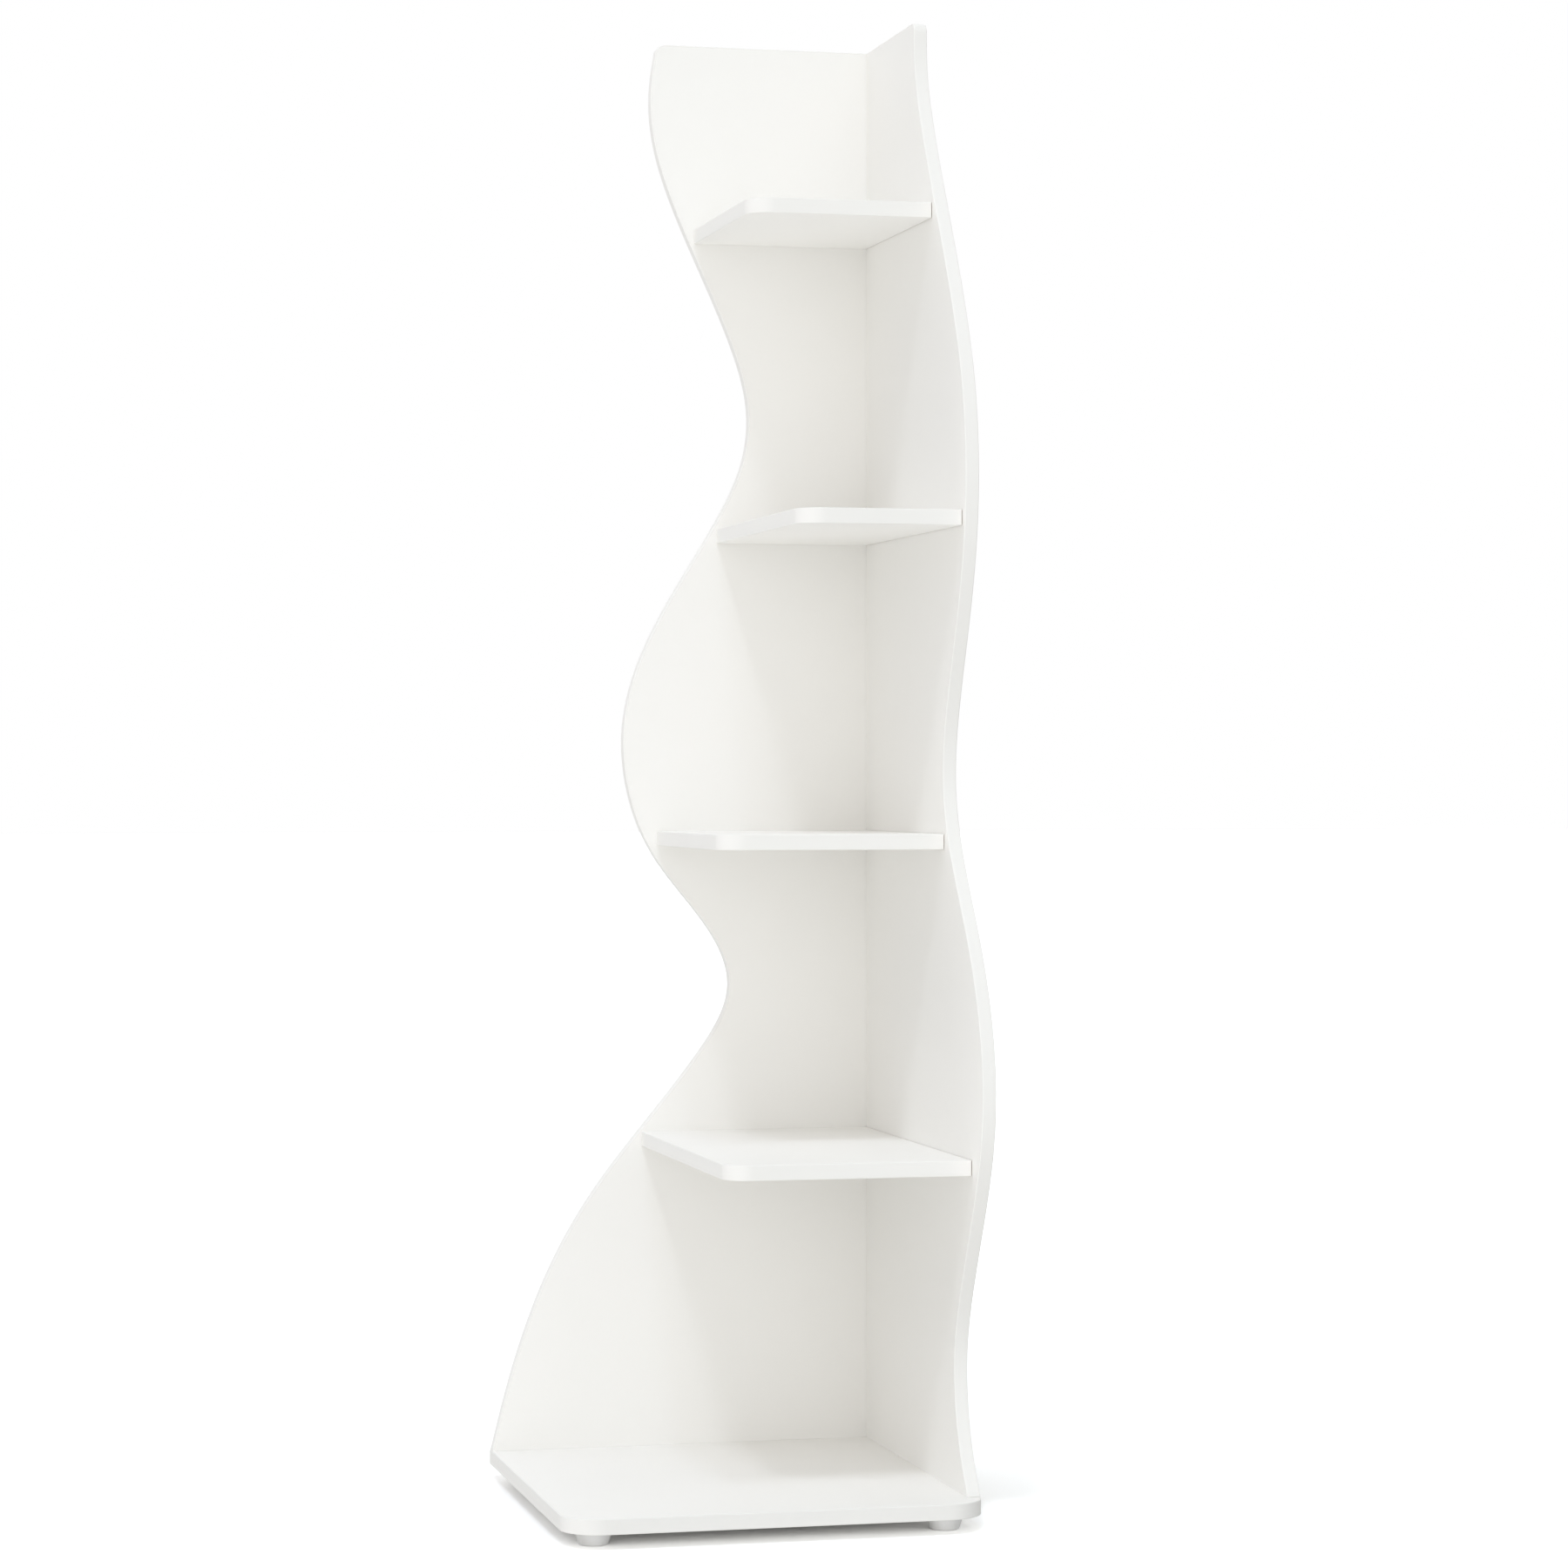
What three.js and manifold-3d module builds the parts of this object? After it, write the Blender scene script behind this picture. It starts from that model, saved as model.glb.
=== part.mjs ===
// Wavy corner bookcase: two panels at a right angle, each with one edge cut to
// a wave, standing on a base board with four feet, and four shelves of
// different sizes in the corner between them.
//
// Millimetres, +Z up, +X to the right, +Y to the rear; the front is the -Y side.
// Parts are laid out from the inside corner line of the two panels, with z = 0
// at the base board's top face. The group is then moved so that its origin is
// the centre of the footprint at floor level.

import * as THREE from 'three';
import { mergeVertices } from 'three/addons/utils/BufferGeometryUtils.js';
import Module from 'manifold-3d';

const wasm = await Module();
wasm.setup();

// ---------------------------------------------------------------- dimensions

const PANEL_T = 16;            // thickness of the two upright panels
const PANEL_H = 1724;          // height of the panels above the base board
const PANEL_CORNER_R = 12;     // rounded top corner at each panel's wavy edge
const PANEL_CORNER_SEGMENTS = 5;

const BASE_T = 18;
const BASE_LEFT = 472.5;       // reach to the left of the corner line
const BASE_FRONT = 489;        // reach to the front of the corner line
const BASE_CORNER_R = 45;      // rounded front corners
const BASE_CORNER_SEGMENTS = 9;

// Shelves, top to bottom: height of the top face, width along X, depth along Y.
const SHELVES = [
  { name: 'shelf_1', top: 1498, width: 220, depth: 301 },
  { name: 'shelf_2', top: 1129, width: 191.5, depth: 429 },
  { name: 'shelf_3', top: 756, width: 267, depth: 354 },
  { name: 'shelf_4', top: 386.5, width: 286, depth: 468.5 },
];
const SHELF_T = 18;
const SHELF_CORNER_R = 30;     // rounded front-left corner
const SHELF_CORNER_SEGMENTS = 7;

// Wavy edges: [height, distance of the edge from the corner line].
const BACK_WAVE = [
  [0, 472], [80, 451.5], [160, 425.5], [240, 390.5], [320, 341.5], [400, 278.5],
  [480, 215], [560, 175.5], [640, 204.5], [720, 266.5], [800, 301], [880, 308.5],
  [960, 290], [1040, 250.5], [1120, 202], [1200, 161.5], [1280, 151.5],
  [1360, 173], [1440, 207.5], [1520, 243], [1600, 269], [1665, 274.5], [1724, 266.5],
];
const SIDE_WAVE = [
  [0, 449.5], [40, 422.5], [90, 401.5], [160, 396.5], [240, 425.5], [320, 468],
  [400, 503], [480, 511], [560, 490.5], [640, 445.5], [720, 387.5], [800, 350],
  [880, 356], [960, 387], [1040, 419.5], [1120, 439.5], [1200, 441.5],
  [1280, 425.5], [1360, 391], [1440, 346], [1520, 296.5], [1600, 250.5],
  [1665, 225], [1724, 222],
];
const WAVE_STEP = 20;          // approximate height between points along a wavy edge
const SIDE_REACH = 511.8;      // furthest reach of the side panel's wave to the front

const FOOT_H = 18;
const FOOT_TOP_R = 22.5;       // radius where the foot meets the base board
const FOOT_BOTTOM_R = 17;      // radius near the floor
const FOOT_CHAMFER = 0.8;      // chamfer around the floor face
const FOOT_BORE_R = 6.5;       // recess for the screw's head
const FOOT_BORE_H = 9;         // depth of that recess from the floor side
const FOOT_HOLE_R = 2.5;       // hole for the screw
const FOOT_INSET_X = 40;       // foot centre from the base board's side edges
const FOOT_INSET_Y = 50;       // foot centre from the base board's front and rear edges
const FOOT_SEGMENTS = 32;

const FOOT_SCREW_R = 2;
const FOOT_SCREW_TIP = 3;      // length of the pointed tip
const FOOT_SCREW_IN_BOARD = 12;
const FOOT_SCREW_HEAD_R = 4;
const FOOT_SCREW_HEAD_H = 2.4;
const FOOT_SCREW_FACE_R = FOOT_SCREW_HEAD_R * 0.7;     // flat face of the head
const FOOT_SCREW_BEVEL = FOOT_SCREW_HEAD_H * 0.55;     // height of the slope around it
const FOOT_SCREW_HEAD_GAP = 0.3;                       // between head and recess
const FOOT_PILOT_EXTRA = 1;    // how far the pilot hole runs past the tip

const SCREW_L = 50;            // connecting screw: overall length
const SCREW_HEAD_R = 4.8;      // radius of the flat head
const SCREW_RIM = 0.7;         // height of the head's rim
const SCREW_CONE = 2.4;        // height of the cone under the head
const SCREW_COLLAR_R = 3.5;    // smooth collar under the head
const SCREW_COLLAR_L = 13;     // from the head face to the collar's end
const SCREW_COLLAR_TAPER = 1;  // length of the step from collar to thread
const SCREW_THREAD_R = 3.2;    // threaded part, built smooth
const SCREW_TIP_L = 5;         // length of the tapered tip
const SCREW_POINT_R = 1.2;     // base radius of the blunter cone at its end
const SCREW_POINT_L = 1;       // length of that cone
const SCREW_HEX = 4;           // hexagon socket, across flats
const SCREW_HEX_DEPTH = 3;
const SCREW_SEGMENTS = 12;

const CLEAR = 0.35;            // radial clearance between a screw and its hole
const CONE_CLEAR = CLEAR * 0.6;   // extra depth of the seat under the head
const HEAD_HOLE_EXTRA = 20;    // how far the clearance hole runs past the collar
const PILOT_EXTRA = 2;         // how far a pilot hole runs past the screw's tip
const HOLE_OVERRUN = 2;        // how far a hole's cutter starts outside the board
const SOCKET_OVERRUN = 1;      // how far the socket's cutter starts above the head

// Screw places, from the corner line.
const CORNER_SCREW_Z = [90, 560, 940, 1310, 1640];
const BASE_BACK_SCREW_X = { left: -410, middle: -235, right: -60 };
const BASE_SIDE_SCREW_Y = { rear: -60, middle: -220, front: -380 };
const SHELF_SCREW_INSET_X = 45;   // from a shelf's left and right edges
const SHELF_SCREW_INSET_Y = 60;   // from a shelf's front and rear edges

// ---------------------------------------------------------------- materials

const LAMINATE = { color: 0xf3f4f1, roughness: 0.42, metalness: 0 };
const PLASTIC = { color: 0xcfd1cf, roughness: 0.5, metalness: 0 };
const ZINC = { color: 0xb9bcc0, roughness: 0.35, metalness: 0.9 };

// ---------------------------------------------------------------- solids

const WELD_DISTANCE = 1e-4;

// Closed mesh with merged vertices and outward-facing triangles.
function closed(geometry) {
  const bare = new THREE.BufferGeometry();
  bare.setAttribute('position', geometry.attributes.position);
  bare.setIndex(geometry.index);
  const merged = mergeVertices(bare, WELD_DISTANCE);
  const { position } = merged.attributes;
  const corners = [new THREE.Vector3(), new THREE.Vector3(), new THREE.Vector3()];
  const triangles = [];
  let volume = 0;
  for (let i = 0; i < merged.index.count; i += 3) {
    const triangle = [0, 1, 2].map((k) => merged.index.getX(i + k));
    if (new Set(triangle).size < 3) continue;
    triangles.push(triangle);
    corners.forEach((corner, k) => corner.fromBufferAttribute(position, triangle[k]));
    volume += corners[0].dot(corners[1].cross(corners[2]));
  }
  const facing = volume < 0 ? triangles.map(([a, b, c]) => [a, c, b]) : triangles;
  const result = new THREE.BufferGeometry();
  result.setAttribute('position', position);
  result.setIndex(facing.flat());
  return result;
}

function toSolid(geometry) {
  const mesh = closed(geometry);
  return new wasm.Manifold(new wasm.Mesh({
    numProp: 3,
    vertProperties: Float32Array.from(mesh.attributes.position.array),
    triVerts: Uint32Array.from(mesh.index.array),
  }));
}

function toGeometry(solid) {
  const mesh = solid.getMesh();
  const geometry = new THREE.BufferGeometry();
  const position = Float32Array.from(mesh.vertProperties);
  geometry.setAttribute('position', new THREE.BufferAttribute(position, 3));
  geometry.setIndex(new THREE.BufferAttribute(Uint32Array.from(mesh.triVerts), 1));
  return geometry;
}

function cut(geometry, cutters) {
  const subtract = (solid, cutter) => solid.subtract(toSolid(cutter));
  return toGeometry(cutters.reduce(subtract, toSolid(geometry)));
}

const slab = (shape, depth, matrix) =>
  new THREE.ExtrudeGeometry(shape, { depth, bevelEnabled: false, curveSegments: 1 })
    .applyMatrix4(matrix);

// Turns a profile of [radius, y] points around the Y axis.
const turned = (profile, segments) =>
  new THREE.LatheGeometry(profile.map(([r, y]) => new THREE.Vector2(r, y)), segments);

// ---------------------------------------------------------------- placing

const RIGHT = new THREE.Vector3(1, 0, 0);
const REAR = new THREE.Vector3(0, 1, 0);
const FRONT = new THREE.Vector3(0, -1, 0);
const UP = new THREE.Vector3(0, 0, 1);
const DOWN = new THREE.Vector3(0, 0, -1);

// Returns a function that places a part at (x, y, z) with its local axes
// turned to the given directions.
const turnedTo = (xAxis, yAxis, zAxis) => (x, y, z) =>
  new THREE.Matrix4().makeBasis(xAxis, yAxis, zAxis).setPosition(x, y, z);

// Slabs, by the way their thickness grows.
const flat = turnedTo(RIGHT, REAR, UP);
const facingFront = turnedTo(RIGHT, UP, FRONT);
const facingRight = turnedTo(REAR, UP, RIGHT);

// Connecting screws, by the way the tip (local -Y) points.
const tipFront = turnedTo(RIGHT, REAR, UP);
const tipLeft = turnedTo(FRONT, RIGHT, UP);
const tipUp = turnedTo(RIGHT, DOWN, REAR);

// Feet and their screws: local Y points up.
const upright = turnedTo(RIGHT, UP, FRONT);

// ---------------------------------------------------------------- outlines

// Natural cubic spline through [height, reach] points, as a function of height.
function wave(points) {
  const last = points.length - 1;
  const height = points.map((point) => point[0]);
  const reach = points.map((point) => point[1]);
  const gap = height.slice(1).map((z, i) => z - height[i]);
  const slope = gap.map((g, i) => (reach[i + 1] - reach[i]) / g);

  // Second derivative at each point, zero at both ends: tridiagonal solve.
  const bend = new Array(last + 1).fill(0);
  const upper = [0];
  const rhs = [0];
  for (let i = 1; i < last; i++) {
    const pivot = 2 * (gap[i - 1] + gap[i]) - gap[i - 1] * upper[i - 1];
    upper[i] = gap[i] / pivot;
    rhs[i] = (6 * (slope[i] - slope[i - 1]) - gap[i - 1] * rhs[i - 1]) / pivot;
  }
  for (let i = last - 1; i > 0; i--) bend[i] = rhs[i] - upper[i] * bend[i + 1];

  return (z) => {
    let i = 0;
    while (i < last - 1 && z > height[i + 1]) i++;
    const d = z - height[i];
    const startSlope = slope[i] - (gap[i] * (2 * bend[i] + bend[i + 1])) / 6;
    const cubic = (bend[i + 1] - bend[i]) / (6 * gap[i]);
    return reach[i] + startSlope * d + (bend[i] / 2) * d * d + cubic * d ** 3;
  };
}

// Points of a counter-clockwise quarter circle.
function quarterArc(x, y, radius, start, segments) {
  return Array.from({ length: segments + 1 }, (_, k) => {
    const angle = start + (Math.PI / 2) * (k / segments);
    return [x + radius * Math.cos(angle), y + radius * Math.sin(angle)];
  });
}

function outline(points) {
  const shape = new THREE.Shape(points.map(([x, y]) => new THREE.Vector2(x, y)));
  shape.closePath();
  return shape;
}

// Upright panel in its own plane: the wavy edge on the negative side, a
// rounded top corner, and a straight edge at `inner`.
function panelOutline(edge, inner) {
  const top = PANEL_H - PANEL_CORNER_R;
  const steps = Math.round(top / WAVE_STEP);
  const points = [
    [inner, 0],
    [inner, PANEL_H],
    ...quarterArc(-(edge(top) - PANEL_CORNER_R), top, PANEL_CORNER_R, Math.PI / 2,
      PANEL_CORNER_SEGMENTS),
  ];
  for (let k = steps - 1; k >= 0; k--) {
    const z = (top * k) / steps;
    points.push([-edge(z), z]);
  }
  return outline(points);
}

function baseOutline() {
  const y = -BASE_FRONT + BASE_CORNER_R;
  const corner = (x, start) => quarterArc(x, y, BASE_CORNER_R, start, BASE_CORNER_SEGMENTS);
  return outline([
    [PANEL_T, PANEL_T],
    [-BASE_LEFT, PANEL_T],
    ...corner(-BASE_LEFT + BASE_CORNER_R, Math.PI),
    ...corner(PANEL_T - BASE_CORNER_R, 1.5 * Math.PI),
  ]);
}

function shelfOutline({ width, depth }) {
  return outline([
    [0, 0],
    [-width, 0],
    ...quarterArc(-width + SHELF_CORNER_R, -depth + SHELF_CORNER_R, SHELF_CORNER_R, Math.PI,
      SHELF_CORNER_SEGMENTS),
    [0, -depth],
  ]);
}

// ---------------------------------------------------------------- connecting screw

// The screw lies along its local Y axis: head face at y = 0, tip at y = -SCREW_L.
function connectingScrew() {
  const body = turned([
    [0, -SCREW_L],
    [SCREW_POINT_R, -SCREW_L + SCREW_POINT_L],
    [SCREW_THREAD_R, -SCREW_L + SCREW_TIP_L],
    [SCREW_THREAD_R, -SCREW_COLLAR_L - SCREW_COLLAR_TAPER],
    [SCREW_COLLAR_R, -SCREW_COLLAR_L],
    [SCREW_COLLAR_R, -SCREW_RIM - SCREW_CONE],
    [SCREW_HEAD_R, -SCREW_RIM],
    [SCREW_HEAD_R, 0],
    [0, 0],
  ], SCREW_SEGMENTS);
  const socketR = SCREW_HEX / Math.sqrt(3);
  const socket = new THREE.CylinderGeometry(
    socketR, socketR, SCREW_HEX_DEPTH + SOCKET_OVERRUN, 6,
  ).translate(0, (SOCKET_OVERRUN - SCREW_HEX_DEPTH) / 2, 0);
  return cut(body, [socket]);
}
const screwGeometry = connectingScrew();

// Holes have as many sides as the screw, so the gap is even.
const HOLE_R = SCREW_COLLAR_R + CLEAR;
const HEAD_HOLE_R = SCREW_HEAD_R + CLEAR;

// Hole in the board the screw passes through.
const headHole = turned([
  [0, -SCREW_COLLAR_L - HEAD_HOLE_EXTRA],
  [HOLE_R, -SCREW_COLLAR_L - HEAD_HOLE_EXTRA],
  [HOLE_R, -SCREW_RIM - SCREW_CONE - CONE_CLEAR],
  [HEAD_HOLE_R, -SCREW_RIM - CONE_CLEAR],
  [HEAD_HOLE_R, HOLE_OVERRUN],
  [0, HOLE_OVERRUN],
], SCREW_SEGMENTS);

// Hole in the board the screw bites into.
const pilotHole = turned([
  [0, -SCREW_L - PILOT_EXTRA],
  [HOLE_R, -SCREW_L - PILOT_EXTRA],
  [HOLE_R, HOLE_OVERRUN],
  [0, HOLE_OVERRUN],
], SCREW_SEGMENTS);

// ---------------------------------------------------------------- assembly

const boards = new THREE.Group();
const feet = new THREE.Group();
const fasteners = new THREE.Group();

// Cutters collected for each board.
const backCuts = [];
const sideCuts = [];
const baseCuts = [];
const shelfCuts = SHELVES.map(() => []);

function add(parent, name, geometry, look) {
  const surface = closed(geometry);
  surface.computeVertexNormals();
  const material = new THREE.MeshStandardMaterial({ ...look, flatShading: true });
  const mesh = new THREE.Mesh(surface, material);
  mesh.name = name;
  parent.add(mesh);
}

const placed = (geometry, matrix) => geometry.clone().applyMatrix4(matrix);

// Adds a connecting screw and its holes in the board it passes through and
// the board it bites into.
function addScrew(name, matrix, through, into) {
  add(fasteners, name, placed(screwGeometry, matrix), ZINC);
  through.push(placed(headHole, matrix));
  into.push(placed(pilotHole, matrix));
}

// Back panel into the rear edge of the side panel.
CORNER_SCREW_Z.forEach((z, i) => {
  addScrew(`corner_screw_${i + 1}`, tipFront(PANEL_T / 2, PANEL_T, z), backCuts, sideCuts);
});

// Base board up into the lower edges of both panels.
for (const [tag, x] of Object.entries(BASE_BACK_SCREW_X)) {
  addScrew(`base_screw_back_${tag}`, tipUp(x, PANEL_T / 2, -BASE_T), baseCuts, backCuts);
}
for (const [tag, y] of Object.entries(BASE_SIDE_SCREW_Y)) {
  addScrew(`base_screw_side_${tag}`, tipUp(PANEL_T / 2, y, -BASE_T), baseCuts, sideCuts);
}

// Two screws through each panel into every shelf.
SHELVES.forEach(({ name, top, width, depth }, i) => {
  const z = top - SHELF_T / 2;
  const backScrews = { left: -(width - SHELF_SCREW_INSET_X), right: -SHELF_SCREW_INSET_X };
  const sideScrews = { rear: -SHELF_SCREW_INSET_Y, front: -(depth - SHELF_SCREW_INSET_Y) };
  for (const [tag, x] of Object.entries(backScrews)) {
    addScrew(`${name}_back_screw_${tag}`, tipFront(x, PANEL_T, z), backCuts, shelfCuts[i]);
  }
  for (const [tag, y] of Object.entries(sideScrews)) {
    addScrew(`${name}_side_screw_${tag}`, tipLeft(PANEL_T, y, z), sideCuts, shelfCuts[i]);
  }
});

// Feet and their screws are turned with the floor at y = 0.
const footGeometry = turned([
  [FOOT_HOLE_R, FOOT_BORE_H],
  [FOOT_BORE_R, FOOT_BORE_H],
  [FOOT_BORE_R, 0],
  [FOOT_BOTTOM_R - FOOT_CHAMFER, 0],
  [FOOT_BOTTOM_R, FOOT_CHAMFER],
  [FOOT_TOP_R, FOOT_H],
  [FOOT_HOLE_R, FOOT_H],
  [FOOT_HOLE_R, FOOT_BORE_H],
], FOOT_SEGMENTS);

const headTop = FOOT_BORE_H - FOOT_SCREW_HEAD_GAP;
const headFace = headTop - FOOT_SCREW_HEAD_H;
const footScrewTip = FOOT_H + FOOT_SCREW_IN_BOARD;
const footScrewGeometry = turned([
  [0, headFace],
  [FOOT_SCREW_FACE_R, headFace],
  [FOOT_SCREW_HEAD_R, headFace + FOOT_SCREW_BEVEL],
  [FOOT_SCREW_HEAD_R, headTop],
  [FOOT_SCREW_R, headTop],
  [FOOT_SCREW_R, footScrewTip - FOOT_SCREW_TIP],
  [0, footScrewTip],
], SCREW_SEGMENTS);

const footPilot = turned([
  [0, FOOT_H - HOLE_OVERRUN],
  [FOOT_SCREW_R + CLEAR, FOOT_H - HOLE_OVERRUN],
  [FOOT_SCREW_R + CLEAR, footScrewTip + FOOT_PILOT_EXTRA],
  [0, footScrewTip + FOOT_PILOT_EXTRA],
], SCREW_SEGMENTS);

const FLOOR_Z = -(BASE_T + FOOT_H);
const FOOT_X = { left: -BASE_LEFT + FOOT_INSET_X, right: PANEL_T - FOOT_INSET_X };
const FOOT_Y = { front: -BASE_FRONT + FOOT_INSET_Y, rear: PANEL_T - FOOT_INSET_Y };
for (const [row, y] of Object.entries(FOOT_Y)) {
  for (const [side, x] of Object.entries(FOOT_X)) {
    const matrix = upright(x, y, FLOOR_Z);
    add(feet, `foot_${row}_${side}`, placed(footGeometry, matrix), PLASTIC);
    add(feet, `foot_screw_${row}_${side}`, placed(footScrewGeometry, matrix), ZINC);
    baseCuts.push(placed(footPilot, matrix));
  }
}

function addBoard(name, shape, thickness, matrix, cutters) {
  add(boards, name, cut(slab(shape, thickness, matrix), cutters), LAMINATE);
}

addBoard('base_board', baseOutline(), BASE_T, flat(0, 0, -BASE_T), baseCuts);

// The back panel runs behind the side panel, whose rear edge butts against it.
addBoard('back_panel', panelOutline(wave(BACK_WAVE), PANEL_T), PANEL_T,
  facingFront(0, PANEL_T, 0), backCuts);
addBoard('side_panel', panelOutline(wave(SIDE_WAVE), 0), PANEL_T,
  facingRight(0, 0, 0), sideCuts);

SHELVES.forEach((shelf, i) => {
  addBoard(shelf.name, shelfOutline(shelf), SHELF_T,
    flat(0, 0, shelf.top - SHELF_T), shelfCuts[i]);
});

const bookcase = new THREE.Group();
bookcase.add(boards, feet, fasteners);
bookcase.position.set((BASE_LEFT - PANEL_T) / 2, (SIDE_REACH - PANEL_T) / 2, -FLOOR_Z);
bookcase.updateMatrixWorld(true);

export default bookcase;
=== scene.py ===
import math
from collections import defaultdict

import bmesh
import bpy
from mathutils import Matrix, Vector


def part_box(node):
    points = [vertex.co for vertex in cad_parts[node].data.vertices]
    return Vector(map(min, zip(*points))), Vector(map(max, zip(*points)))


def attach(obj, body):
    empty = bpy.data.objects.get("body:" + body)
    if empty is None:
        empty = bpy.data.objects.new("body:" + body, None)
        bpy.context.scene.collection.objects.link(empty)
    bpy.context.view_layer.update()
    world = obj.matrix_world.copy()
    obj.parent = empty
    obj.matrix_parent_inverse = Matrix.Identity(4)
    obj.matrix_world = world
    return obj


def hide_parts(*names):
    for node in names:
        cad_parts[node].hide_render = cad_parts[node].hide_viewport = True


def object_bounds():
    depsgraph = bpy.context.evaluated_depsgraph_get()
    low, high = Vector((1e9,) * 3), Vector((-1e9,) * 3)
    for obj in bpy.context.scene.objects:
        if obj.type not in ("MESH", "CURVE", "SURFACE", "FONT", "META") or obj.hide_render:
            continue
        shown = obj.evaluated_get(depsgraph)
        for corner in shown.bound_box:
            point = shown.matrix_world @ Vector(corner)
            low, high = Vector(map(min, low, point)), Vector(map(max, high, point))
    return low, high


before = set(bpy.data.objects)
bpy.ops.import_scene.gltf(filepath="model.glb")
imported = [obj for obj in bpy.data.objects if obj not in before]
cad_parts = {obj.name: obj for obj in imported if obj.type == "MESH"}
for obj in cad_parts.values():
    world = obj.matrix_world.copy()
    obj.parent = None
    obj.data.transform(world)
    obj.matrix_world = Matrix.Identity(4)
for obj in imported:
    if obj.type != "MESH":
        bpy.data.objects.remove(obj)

# A corner bookcase of white laminated board. The back panel runs left (-X) and the
# side panel runs forward (-Y) from the corner at the rear right. Each has a wavy free
# edge. Four shelves sit in the corner, over a base board on four round feet.
# Lengths are in millimetres from the corner line, where the panels' inside faces meet,
# at the top of the base board. at() turns them into the frame's metres.

MM = 0.001
CAD_LO, CAD_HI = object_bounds()
side_lo, side_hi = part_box("side_panel")
back_lo, back_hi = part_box("back_panel")
base_lo, base_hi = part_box("base_board")
X0, Y0, Z0 = side_lo.x, back_lo.y, base_hi.z

# --------------------------------------------------------------------------
# Board sizes
# --------------------------------------------------------------------------
PANEL_THICKNESS = (side_hi.x - side_lo.x) / MM
PANEL_HEIGHT = (back_hi.z - back_lo.z) / MM
BACK_REACH = (X0 - back_lo.x) / MM      # the farthest each wavy edge may go
SIDE_REACH = (Y0 - side_lo.y) / MM
PANEL_TOP_RADIUS = 12.0
SHELF_RADIUS = 30.0
BASE_RADIUS = 45.0

# Wavy edges of the panels: (height, distance from the corner line)
BACK_WAVE = [
    (0, 472), (80, 451.5), (160, 425.5), (240, 390.5), (320, 341.5), (400, 278.5),
    (480, 215), (560, 175.5), (640, 204.5), (720, 266.5), (800, 301), (880, 308.5),
    (960, 290), (1040, 250.5), (1120, 202), (1200, 161.5), (1280, 151.5),
    (1360, 173), (1440, 207.5), (1520, 243), (1600, 269), (1665, 274.5), (1724, 266.5),
]
SIDE_WAVE = [
    (0, 449.5), (40, 422.5), (90, 401.5), (160, 396.5), (240, 425.5), (320, 468),
    (400, 503), (480, 511), (560, 490.5), (640, 445.5), (720, 387.5), (800, 350),
    (880, 356), (960, 387), (1040, 419.5), (1120, 439.5), (1200, 441.5),
    (1280, 425.5), (1360, 391), (1440, 346), (1520, 296.5), (1600, 250.5),
    (1665, 225), (1724, 222),
]
WAVE_STEPS = 428
TOP_CORNER_STEPS = 14
BASE_CORNER_STEPS = 24
SHELF_CORNER_STEPS = 20

# Kinds of board edge: free, under or behind another board, and a shelf's right end
FREE, TIGHT, SNUG = 0, 1, 2
EDGE_ROUNDING = (1.2, 0.12, 0.3)    # by kind
EDGE_GAP = (0.0, 0.0, 0.6)          # by kind: how far the edge stands back
ROUNDING_STEPS = 5
BAND = 1.6                          # edge band's thickness as it shows on the face
GLUE = 0.12                         # glue line between band and face
SMALL_CORNER = (0.5, 3)             # fillet radius and steps of a square corner
SNUG_CORNER = (1.1, 4)              # the same at a shelf's front right corner

# --------------------------------------------------------------------------
# Screw and foot sizes. Screw depths run from the head face towards the tip;
# foot heights run up from the floor.
# --------------------------------------------------------------------------
CLEARANCE = 0.35                    # round every screw
CONE_CLEARANCE = CLEARANCE * 0.6    # along the screw, at the countersink
HOLE_SEGMENTS = 48
CUT_PAST = 2.0                      # how far cutters run past a face or a tip
THROUGH_DEPTH = 33.0

SCREW_LENGTH = 50.0
SCREW_SEGMENTS = 36
SCREW_TURN = 0.37                   # each screw is turned this much more than the last, radians
HEAD_RADIUS = 4.8
HEAD_RIM_DEPTH = 0.7
HEAD_DEPTH = 3.1
COLLAR_RADIUS = 3.5
SOCKET_ACROSS = 4.0                 # across the flats
SOCKET_DEPTH = 3.0

FOOT_HEIGHT = 18.0
FOOT_TOP_RADIUS = 22.5
FOOT_BOTTOM_RADIUS = 17.0
FOOT_SEGMENTS = 96
FOOT_BORE = 2.5
FOOT_RECESS = 6.5                   # radius of the wide bore under the foot
FOOT_SEAT = 9.0                     # height of the wide bore's top

FOOT_SCREW_RADIUS = 2.0
FOOT_HEAD_LOW = 6.3                 # lowest point of the head
FOOT_HEAD_HIGH = 8.7                # the head's side towards the base board
FOOT_SCREW_TIP = FOOT_HEIGHT + 12


# --------------------------------------------------------------------------
# Places
# --------------------------------------------------------------------------
def at(x, y, z):
    """Millimetres from the corner line to the frame's metres."""
    return Vector((X0 + x * MM, Y0 + y * MM, Z0 + z * MM))


def in_mm(point):
    """The frame's metres to millimetres from the corner line."""
    return (point.x - X0) / MM, (point.y - Y0) / MM, (point.z - Z0) / MM


def axes_for(direction):
    """Two cross axes and the axis along a direction."""
    along = Vector(direction)
    up = Vector((0, 0, 1)) if abs(along.z) < 0.5 else Vector((0, 1, 0))
    across = up.cross(along).normalized()
    return across, along.cross(across).normalized(), along


def placer(origin, direction):
    """Turns local millimetres (u, v, depth) into the frame, depth along direction."""
    across, upward, along = axes_for(direction)
    start = at(*origin)
    return lambda u, v, depth: start + (across * u + upward * v + along * depth) * MM


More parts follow.
